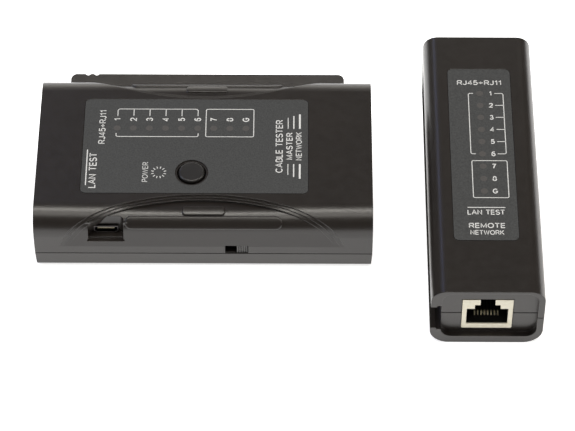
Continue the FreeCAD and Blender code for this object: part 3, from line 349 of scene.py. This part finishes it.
def make_looks():
    """Materials by the record's slot, and by node where one piece differs from its slot."""
    slots = {
        "shell_black": moulded_plastic(
            "shell_plastic",
            (0.012, 0.009, 0.0074),
            (0.015, 0.0113, 0.0093),
            0.3,
            grain=0.32,
            depth=0.02,
            shine=0.62,
        ),
        "label_grey": label_film("label_film"),
        "button_black": moulded_plastic(
            "button_plastic", (0.009, 0.008, 0.0075), (0.013, 0.0115, 0.0105), 0.38
        ),
        "slider_grey": moulded_plastic(
            "slider_plastic", (0.045, 0.043, 0.042), (0.07, 0.067, 0.065), 0.42
        ),
        "plated_steel": metal("plated_steel", (0.62, 0.6, 0.56), 0.3, brush=(1, 4, 1)),
        "usb_tongue": usb_metal("tongue_nylon", USB_FRONT + TONGUE_STEP, (0.95, 0.88, 0.66)),
        "lamp_clear": lamp_resin("lamp_resin"),
        "board_green": circuit_board("circuit_board"),
        "chip_black": moulded_plastic(
            "chip_epoxy", (0.012, 0.012, 0.012), (0.02, 0.02, 0.02), 0.55
        ),
        "resistor": moulded_plastic(
            "resistor_body", (0.01, 0.012, 0.02), (0.03, 0.03, 0.04), 0.4, edge=0.05
        ),
        "battery_case": battery_wrap("battery_wrap"),
        "lead_red": moulded_plastic(
            "lead_red_pvc", (0.4, 0.015, 0.012), (0.55, 0.03, 0.02), 0.4, edge=0.0
        ),
        "lead_black": moulded_plastic(
            "lead_black_pvc", (0.01, 0.01, 0.01), (0.02, 0.02, 0.02), 0.4, edge=0.0
        ),
        "spring_steel": metal("spring_steel", (0.55, 0.54, 0.52), 0.28, brush=(1, 6, 1)),
        "zinc_screw": metal("zinc_screw", (0.6, 0.59, 0.57), 0.34, grain=0.5),
    }
    nodes = {
        "usb_shell": usb_metal("usb_steel", USB_FRONT, (0.16, 0.15, 0.15)),
        "slide_switch_case": metal(
            "switch_case_steel", (0.12, 0.115, 0.11), 0.5, brush=(4, 1, 1)
        ),
    }
    jacks = [
        ("master_rj45", "X", MASTER_JACK_FACE, 1),
        ("master_rj11", "X", MASTER_JACK_FACE, 1),
        ("remote_rj45", "Y", REMOTE_NEAR_FACE, 1),
        ("remote_rj11", "Y", REMOTE_FAR_FACE, -1),
    ]
    for jack, axis, face, inward in jacks:
        front = face + inward * CONTACT_STEP
        nodes[jack + "_housing"] = jack_plastic(jack + "_nylon", axis, face, inward)
        nodes[jack + "_contacts"] = contact_metal(jack + "_gold", axis, front, inward)
    return slots, nodes


def dress_frame(slots, nodes):
    """Give every CAD piece its look, by its own name first and by its slot otherwise."""
    for part in frame["record"]["subparts"]:
        look = nodes.get(part["node"]) or slots[part["material_slot"]]
        mesh = frame["nodes"][part["node"]].data
        mesh.materials.clear()
        mesh.materials.append(look)


# ---------------------------------------------------------------- flat pieces


def mesh_from(curve):
    """The mesh of a curve, which is then thrown away."""
    holder = bpy.data.objects.new("holder", curve)
    scene.collection.objects.link(holder)
    graph = bpy.context.evaluated_depsgraph_get()
    mesh = bpy.data.meshes.new_from_object(holder.evaluated_get(graph))
    bpy.data.objects.remove(holder)
    bpy.data.curves.remove(curve)
    return mesh


def outline_mesh(loops, thick, bevel=0.0):
    """A flat plate through closed loops of (x, y) points, on Z 0. Inner loops are holes."""
    curve = bpy.data.curves.new("outline", "CURVE")
    curve.dimensions = "2D"
    curve.fill_mode = "BOTH"
    curve.extrude = thick / 2 - bevel
    curve.bevel_depth = bevel
    curve.bevel_resolution = 2
    curve.offset = -bevel
    for loop in loops:
        spline = curve.splines.new("POLY")
        spline.points.add(len(loop) - 1)
        for point, (x, y) in zip(spline.points, loop):
            point.co = (x, y, 0, 1)
        spline.use_cyclic_u = True
    mesh = mesh_from(curve)
    mesh.transform(Matrix.Translation((0, 0, thick / 2)))
    return mesh


def circle_points(x, y, radius, count=64):
    angles = [math.tau * step / count for step in range(count)]
    return [(x + radius * math.cos(angle), y + radius * math.sin(angle)) for angle in angles]


def rounded_box(left, low, right, high, radius, count=8):
    """The corners of a rectangle with round corners, anticlockwise."""
    centres = [
        (right - radius, high - radius),
        (left + radius, high - radius),
        (left + radius, low + radius),
        (right - radius, low + radius),
    ]
    points = []
    for quarter, (x, y) in enumerate(centres):
        for step in range(count + 1):
            angle = math.radians(90 * (quarter + step / count))
            points.append((x + radius * math.cos(angle), y + radius * math.sin(angle)))
    return points


# ---------------------------------------------------------------- print

INK = 0.012
LINE = 0.25
LETTER_GAP = 0.2
LETTER_STRETCH = 1.1
SHARPEST_MITRE = 0.6


def arc(x, y, wide, tall, start, end, steps=10):
    """Points along part of an ellipse, from one angle to another in degrees."""
    angles = [math.radians(start + (end - start) * step / steps) for step in range(steps + 1)]
    return [(x + wide * math.cos(angle), y + tall * math.sin(angle)) for angle in angles]


def bowl(left, right, low, high, sweep=0.8):
    """A stroke that runs out to the right, turns round and comes back, as on P, R and B."""
    half = (high - low) / 2
    turn = half * sweep
    return [(left, high)] + arc(right - turn, low + half, turn, half, 90, -90) + [(left, low)]


# Plain sans letters: each is its width and the strokes that draw it, on a height of 1.
LETTERS = {
    "1": (0.34, [[(0.02, 0.74), (0.2, 0.84), (0.28, 1.0), (0.28, 0.0)]]),
    "2": (0.56, [arc(0.28, 0.72, 0.27, 0.28, 170, -35) + [(0.0, 0.0), (0.57, 0.0)]]),
    "3": (
        0.56,
        [arc(0.27, 0.755, 0.23, 0.245, 160, -90) + arc(0.27, 0.265, 0.28, 0.265, 90, -160)],
    ),
    "4": (0.6, [[(0.44, 0.0), (0.44, 1.0), (0.0, 0.27), (0.6, 0.27)]]),
    "5": (0.56, [[(0.5, 1.0), (0.1, 1.0), (0.04, 0.5)] + arc(0.27, 0.33, 0.28, 0.33, 125, -155)]),
    "6": (0.56, [arc(0.34, 0.55, 0.32, 0.45, 55, 180) + arc(0.29, 0.31, 0.27, 0.31, 180, 530, 20)]),
    "7": (0.56, [[(0.0, 1.0), (0.55, 1.0), (0.32, 0.55), (0.2, 0.0)]]),
    "8": (
        0.56,
        [arc(0.28, 0.76, 0.23, 0.24, -90, 270, 20), arc(0.28, 0.27, 0.28, 0.27, 90, 450, 20)],
    ),
    "+": (0.56, [[(0.0, 0.45), (0.56, 0.45)], [(0.28, 0.17), (0.28, 0.73)]]),
    "A": (0.72, [[(0.0, 0.0), (0.36, 1.0), (0.72, 0.0)], [(0.13, 0.33), (0.59, 0.33)]]),
    "B": (
        0.62,
        [
            [(0.05, 0.0), (0.05, 1.0)],
            bowl(0.05, 0.6, 0.52, 1.0, 1.6),
            bowl(0.05, 0.66, 0.0, 0.52, 1.6),
        ],
    ),
    "C": (0.72, [arc(0.37, 0.5, 0.36, 0.5, 42, 318, 16)]),
    "E": (
        0.58,
        [[(0.58, 1.0), (0.05, 1.0), (0.05, 0.0), (0.58, 0.0)], [(0.05, 0.52), (0.54, 0.52)]],
    ),
    "G": (0.76, [arc(0.38, 0.5, 0.37, 0.5, 42, 325, 16) + [(0.72, 0.46), (0.42, 0.46)]]),
    "J": (0.46, [[(0.42, 1.0)] + arc(0.22, 0.24, 0.2, 0.24, 0, -175)]),
    "K": (
        0.66,
        [[(0.05, 0.0), (0.05, 1.0)], [(0.62, 1.0), (0.05, 0.4)], [(0.25, 0.6), (0.66, 0.0)]],
    ),
    "L": (0.52, [[(0.05, 1.0), (0.05, 0.0), (0.52, 0.0)]]),
    "M": (0.8, [[(0.05, 0.0), (0.05, 1.0), (0.4, 0.12), (0.75, 1.0), (0.75, 0.0)]]),
    "N": (0.7, [[(0.05, 0.0), (0.05, 1.0), (0.65, 0.0), (0.65, 1.0)]]),
    "O": (0.8, [arc(0.4, 0.5, 0.38, 0.5, 90, 450, 24)]),
    "P": (0.62, [[(0.05, 0.0), (0.05, 1.0)], bowl(0.05, 0.62, 0.45, 1.0)]),
    "R": (
        0.66,
        [[(0.05, 0.0), (0.05, 1.0)], bowl(0.05, 0.63, 0.46, 1.0), [(0.36, 0.46), (0.68, 0.0)]],
    ),
    "S": (
        0.62,
        [arc(0.31, 0.76, 0.27, 0.24, 25, 255) + arc(0.31, 0.26, 0.3, 0.26, 80, -160)],
    ),
    "T": (0.62, [[(0.0, 1.0), (0.62, 1.0)], [(0.31, 1.0), (0.31, 0.0)]]),
    "W": (0.95, [[(0.0, 1.0), (0.24, 0.0), (0.475, 0.95), (0.71, 0.0), (0.95, 1.0)]]),
    " ": (0.3, []),
}


class Print:
    """All the white print of one label, gathered into one mesh. Places are in millimetres."""

    def __init__(self):
        self.build = bmesh.new()

    def stroke(self, points, width=LINE, closed=False):
        """A line of even width through points, with mitred corners."""
        spots = [Vector(point) for point in points]
        count = len(spots)
        rails = []
        for index, here in enumerate(spots):
            steps = []
            if closed or index:
                steps.append((here - spots[index - 1]).normalized())
            if closed or index < count - 1:
                steps.append((spots[(index + 1) % count] - here).normalized())
            way = sum(steps, Vector((0, 0))).normalized()
            reach = width / 2 / max(SHARPEST_MITRE, way.dot(steps[0]))
            side = Vector((-way.y, way.x)) * reach
            rails.append((here + side, here - side))
        rows = []
        for left, right in rails:
            corners = [(left, 0), (right, 0), (right, INK), (left, INK)]
            rows.append([self.build.verts.new((*spot, height)) for spot, height in corners])
        pairs = list(zip(rows, rows[1:]))
        if closed:
            pairs.append((rows[-1], rows[0]))
        else:
            self.build.faces.new(rows[0])
            self.build.faces.new(rows[-1][::-1])
        for first, second in pairs:
            for side in range(4):
                after = (side + 1) % 4
                self.build.faces.new((first[after], first[side], second[side], second[after]))

    def words(self, text, x, y, length, height, turn=0, weight=0.3):
        """Text centred on x, y, with its run fitted to length, or natural where length is 0."""
        natural = sum(LETTERS[letter][0] + LETTER_GAP for letter in text) - LETTER_GAP
        inner = height - weight
        stretch = (length - weight) / natural if length else inner * LETTER_STRETCH
        start = -natural * stretch / 2
        spin = Matrix.Rotation(math.radians(turn), 2)
        centre = Vector((x, y))
        for letter in text:
            advance, strokes = LETTERS[letter]
            for line in strokes:
                spots = [Vector((start + u * stretch, (v - 0.5) * inner)) for u, v in line]
                self.stroke([centre + spin @ spot for spot in spots], width=weight)
            start += (advance + LETTER_GAP) * stretch

    def finish(self, name, corner, height, look, body):
        """Close the print off as one piece on a label's top."""
        bmesh.ops.recalc_face_normals(self.build, faces=self.build.faces)
        mesh = bpy.data.meshes.new(name)
        self.build.to_mesh(mesh)
        self.build.free()
        return settle(name, mesh, corner, height, look, body)


def settle(name, mesh, corner, height, look, body):
    """Put a piece modelled in millimetres from a unit's corner in its place, and let it ride."""
    mesh.transform(Matrix.Scale(MM, 4) @ Matrix.Translation(corner + Vector((0, 0, height))))
    piece = bpy.data.objects.new(name, mesh)
    scene.collection.objects.link(piece)
    mesh.materials.clear()
    mesh.materials.append(look)
    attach(piece, body)
    return piece


def merge(meshes):
    """Several meshes as one."""
    build = bmesh.new()
    for mesh in meshes:
        build.from_mesh(mesh)
        bpy.data.meshes.remove(mesh)
    whole = bpy.data.meshes.new("merged")
    build.to_mesh(whole)
    build.free()
    return whole


# ---------------------------------------------------------------- labels

# A label's left, low, right and high edges, its corners, its film's thickness, and the heights
# of the two films' undersides.
MASTER_LABEL = (14.2, 11.5, 84.9, 50.5)
REMOTE_LABEL = (-9.95, 20.2, 9.9, 90.9)
LABEL_ROUND = 1.7
LABEL_BEVEL = 0.04
PLATE = 0.33
MASTER_BASE = 21.35
REMOTE_BASE = 24.25

BUTTON = (48.6, 19.9)
BUTTON_HOLE = 5.2
POWER_LAMP = (38.35, 19.9)
POWER_RAYS = 12
RAY_START = 1.6
RAY_END = 2.4
RAY_WIDTH = 0.27

LAMP_NAMES = ("1", "2", "3", "4", "5", "6", "7", "8", "G")
LAMP_PITCH = 5.08
MASTER_LAMP_FIRST = 24.65
MASTER_LAMP_ROW = 38.3
REMOTE_LAMP_FIRST = 39.8
REMOTE_LAMP_ROW = 0.0
WINDOW_RADIUS = 1.1
WINDOW_THICK = 0.006
WINDOW_CORNERS = 40

# Words: text, middle x, middle y, length, height and stroke width. The master's run along Y.
MASTER_WORDS = (
    ("RJ45+RJ11", 20.0, 38.7, 14.3, 2.15, 0.3),
    ("POWER", 34.1, 20.0, 8.2, 1.8, 0.2),
    ("CABLE TESTER", 75.85, 30.9, 22.0, 2.25, 0.33),
    ("MASTER", 79.05, 30.9, 11.3, 2.05, 0.32),
    ("NETWORK", 82.0, 30.9, 11.8, 1.9, 0.28),
    ("LAN TEST", 17.7, 20.6, 14.6, 2.4, 0.36),
)
REMOTE_WORDS = (
    ("RJ45+RJ11", 0.0, 85.05, 14.3, 2.0, 0.3),
    ("REMOTE", 0.3, 26.0, 11.3, 2.0, 0.32),
    ("NETWORK", 0.25, 23.25, 10.4, 1.8, 0.26),
    ("LAN TEST", 0.2, 31.3, 11.6, 2.0, 0.3),
)

# The lines past both ends of the master's title: x, high end, low end and width.
TITLE_LINES = ((78.6, 42.8, 19.0, 0.24), (80.4, 43.6, 18.2, 0.38), (82.3, 44.3, 17.5, 0.58))
TITLE_HIGH = 38.2
TITLE_LOW = 23.5


def lamp_places(first):
    return [first + LAMP_PITCH * number for number in range(len(LAMP_NAMES))]


def make_label(name, node, outline, holes, corner, base, look, body):
    """A film with round corners and a fine edge, in the place of a CAD label."""
    loops = [rounded_box(*outline, LABEL_ROUND)] + [circle_points(*hole) for hole in holes]
    mesh = outline_mesh(loops, PLATE, bevel=LABEL_BEVEL)
    plate = settle(name, mesh, corner, base, look, body)
    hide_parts(node)


def window_meshes(spots):
    """Thin round windows, one over each lamp of a row."""
    loops = [circle_points(x, y, WINDOW_RADIUS, WINDOW_CORNERS) for x, y in spots]
    return merge([outline_mesh([loop], WINDOW_THICK) for loop in loops])


def bracket(start, end, depth, corner=0.5):
    """Three sides of a box with cut corners: two legs that reach back by depth from the line."""
    first, last = Vector(start), Vector(end)
    along = (last - first).normalized() * corner
    back = Vector(depth)
    inset = back.normalized() * corner
    return [first + back, first + inset, first + along, last - along, last + inset, last + back]


def master_print(look):
    """The master's print, which is read from the unit's right end."""
    ink = Print()
    lamps = lamp_places(MASTER_LAMP_FIRST)
    top, teeth, names, low = 46.35, 43.45, 41.95, 34.75
    for x, text in zip(lamps, LAMP_NAMES):
        ink.words(text, x - 0.05, names, 0, 2.15, turn=90, weight=0.36)
    ink.stroke(bracket((lamps[0], top), (lamps[5], top), (0, teeth - top)))
    for x in lamps[1:5]:
        ink.stroke([(x, top), (x, teeth)])
    ink.stroke(bracket((lamps[0] - 0.25, low), (lamps[5] + 0.2, low), (0, 1.4), 0.4))
    ink.stroke(rounded_box(52.65, low, 67.75, top, 0.5, 4), closed=True)
    for text, x, y, length, height, weight in MASTER_WORDS:
        ink.words(text, x, y, length, height, turn=90, weight=weight)
    centre = Vector(POWER_LAMP)
    for number in range(POWER_RAYS):
        angle = math.tau * (number + 0.5) / POWER_RAYS
        way = Vector((math.cos(angle), math.sin(angle)))
        ink.stroke([centre + way * RAY_START, centre + way * RAY_END], width=RAY_WIDTH)
    for x, high_end, low_end, width in TITLE_LINES:
        ink.stroke([(x, TITLE_HIGH), (x, high_end)], width=width)
        ink.stroke([(x, TITLE_LOW), (x, low_end)], width=width)
    ink.stroke([(15.75, 14.6), (15.75, 29.2)], width=0.34)
    ink.finish("master_print", MASTER_CORNER, MASTER_BASE + PLATE, look, "master")


def remote_print(look):
    """The remote's print, which is read from its near end."""
    ink = Print()
    lamps = lamp_places(REMOTE_LAMP_FIRST)
    left, names, teeth, right = -3.6, 3.4, 4.75, 7.4
    for y, text in zip(lamps, reversed(LAMP_NAMES)):
        ink.words(text, names, y, 0, 1.95, weight=0.34)
    top, six = lamps[8], lamps[3]
    ink.stroke(bracket((right, top), (right, six), (teeth - right, 0), 0.4))
    for y in lamps[4:8]:
        ink.stroke([(teeth, y), (right, y)])
    ink.stroke(bracket((left, top), (left, six), (1.5, 0), 0.4))
    ink.stroke(rounded_box(-3.45, 37.15, 7.5, 52.2, 0.5, 4), closed=True)
    for text, x, y, length, height, weight in REMOTE_WORDS:
        ink.words(text, x, y, length, height, weight=weight)
    ink.stroke([(-5.4, 33.2), (6.2, 33.2)], width=0.3)
    ink.finish("remote_print", REMOTE_CORNER, REMOTE_BASE + PLATE, look, "remote")


def make_labels(slots):
    film = slots["label_grey"]
    ink = print_ink("print_ink")
    glass = lamp_window("lamp_window")
    make_label(
        "master_label_film",
        "master_label",
        MASTER_LABEL,
        [(*BUTTON, BUTTON_HOLE)],
        MASTER_CORNER,
        MASTER_BASE,
        film,
        "master",
    )
    make_label(
        "remote_label_film",
        "remote_label",
        REMOTE_LABEL,
        [],
        REMOTE_CORNER,
        REMOTE_BASE,
        film,
        "remote",
    )
    windows = window_meshes([(x, MASTER_LAMP_ROW) for x in lamp_places(MASTER_LAMP_FIRST)])
    height = MASTER_BASE + PLATE
    settle("master_windows", windows, MASTER_CORNER, height, glass, "master")
    windows = window_meshes([(REMOTE_LAMP_ROW, y) for y in lamp_places(REMOTE_LAMP_FIRST)])
    height = REMOTE_BASE + PLATE
    settle("remote_windows", windows, REMOTE_CORNER, height, glass, "remote")
    master_print(ink)
    remote_print(ink)


# ---------------------------------------------------------------- stage


WARM = (1.0, 0.965, 0.9)
COOL = (0.72, 0.8, 1.0)
BLUE = (0.4, 0.5, 1.0)
WORLD_GLOW = 0.13

# The floor's half side in metres, and its drop below the units' feet. Its glow grows along Y
# from the pair's middle to a place behind the pair.
FLOOR_SIZE = 3.0
FLOOR_DROP = 0.1
NEAR_GLOW, FAR_GLOW = 0.7, 1.4
GLOW_START, GLOW_END = 5.0, 60.0

# Soft lights that face the units: name, place and size in metres, power in watts, colour.
LIGHTS = (
    ("top_strip", (0.0, 0.02, 1.2), (1.2, 0.15), 7.2, WARM),
    ("near_strip", (0.0, -0.45, 1.25), (1.0, 0.3), 3.2, WARM),
    ("far_low", (0.0, 1.3, 0.35), (1.4, 0.4), 3.6, WARM),
    ("far_middle", (0.0, 1.2, 0.8), (1.4, 0.3), 1.0, WARM),
    ("right_side", (1.1, 0.0, 0.7), (0.4, 0.8), 4.6, WARM),
    ("left_side", (-1.1, 0.0, 0.7), (0.4, 0.8), 4.2, COOL),
    ("blue_strip", (-0.42, 0.8, 0.88), (0.08, 0.4), 0.4, BLUE),
)


def area_light(name, place, size, power, color):
    data = bpy.data.lights.new(name, "AREA")
    data.shape = "RECTANGLE"
    data.size, data.size_y = size
    data.energy = power
    data.color = color
    lamp = bpy.data.objects.new(name, data)
    scene.collection.objects.link(lamp)
    point_at(lamp, place, (0, 0, 0))


def make_world():
    world = bpy.data.worlds.new("world")
    world.use_nodes = True
    backdrop = world.node_tree.nodes["Background"]
    backdrop.inputs["Color"].default_value = (*WARM, 1)
    backdrop.inputs["Strength"].default_value = WORLD_GLOW
    scene.world = world


def make_floor():
    mesh = bpy.data.meshes.new("floor")
    build = bmesh.new()
    bmesh.ops.create_grid(build, x_segments=1, y_segments=1, size=FLOOR_SIZE)
    build.to_mesh(mesh)
    build.free()
    floor = bpy.data.objects.new("floor", mesh)
    floor.location.z = -FLOOR_DROP * MM
    scene.collection.objects.link(floor)
    shader = Shader("floor_paper")
    paper = shader.noise(2.0, detail=4.0)
    shader.color(shader.ramp(paper, (0.92, 0.92, 0.92), (0.96, 0.96, 0.96), 0.3, 0.7))
    shader.set(Roughness=0.9, Emission_Color=(1, 1, 1, 1))
    glow = shader.ramp(shader.along("Y"), NEAR_GLOW, FAR_GLOW, GLOW_START, GLOW_END)
    shader.link(glow, shader.skin.inputs["Emission Strength"])
    shader.bump(shader.noise(1.5), 0.01)
    mesh.materials.append(shader.material)


def make_stage():
    """A bright paper floor that glows a little, under long soft lights in a dim room."""
    make_world()
    make_floor()
    for light in LIGHTS:
        area_light(*light)


make_camera()
slot_looks, node_looks = make_looks()
dress_frame(slot_looks, node_looks)
make_labels(slot_looks)
make_stage()
